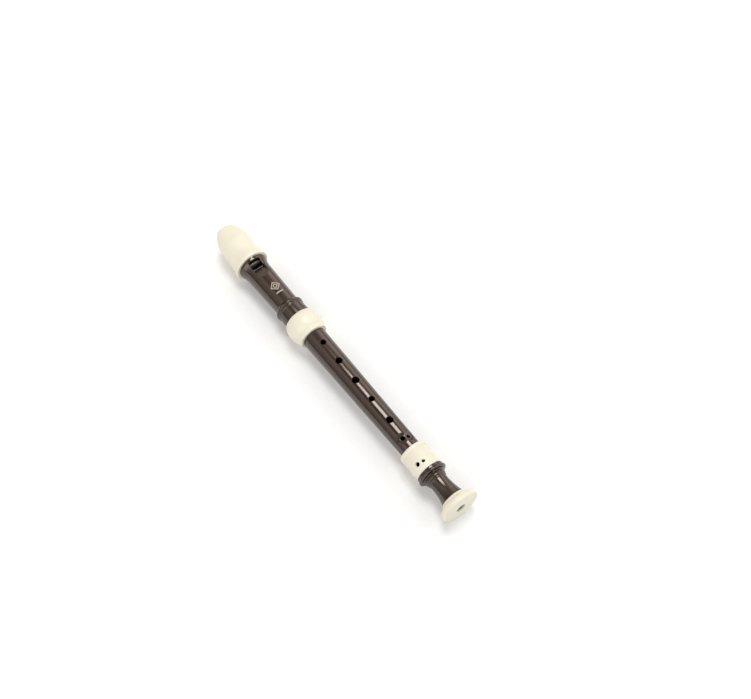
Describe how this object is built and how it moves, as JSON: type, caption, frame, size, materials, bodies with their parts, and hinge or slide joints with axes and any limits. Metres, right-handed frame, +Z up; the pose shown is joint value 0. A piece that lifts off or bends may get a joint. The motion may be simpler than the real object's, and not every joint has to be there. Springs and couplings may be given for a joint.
{
  "type": "soprano recorder",
  "caption": "Three-joint soprano recorder in dark plastic with ivory beak cap, rings and bell; the head slides and the foot turns.",
  "frame": {"origin": "on the surface the recorder lies on, below the middle of its length", "axes": "+X along the axis from the beak to the bell, +Z up towards the finger holes, +Y to the player's left as the fingers see it"},
  "size_m": [0.326, 0.0332, 0.0332],
  "materials": {
    "dark_plastic": "moulded, glossy dark brown",
    "ivory_plastic": "moulded, satin ivory"
  },
  "bodies": {
    "middle_joint": {"middle_body": "dark_plastic"},
    "head_joint": {"beak_cap": "ivory_plastic", "windway_block": "ivory_plastic", "head_body": "dark_plastic", "head_ring": "ivory_plastic"},
    "foot_joint": {"foot_sleeve": "ivory_plastic", "foot_body": "dark_plastic", "bell_ring": "ivory_plastic"}
  },
  "joints": [
    {"name": "head_pull", "type": "slide", "parent": "middle_joint", "child": "head_joint", "axis": [-1, 0, 0], "range_m": [0, 0.022]},
    {"name": "foot_turn", "type": "hinge", "parent": "middle_joint", "child": "foot_joint", "pos_m": [0.102, 0, 0.0166], "axis": [1, 0, 0], "continuous": true}
  ]
}
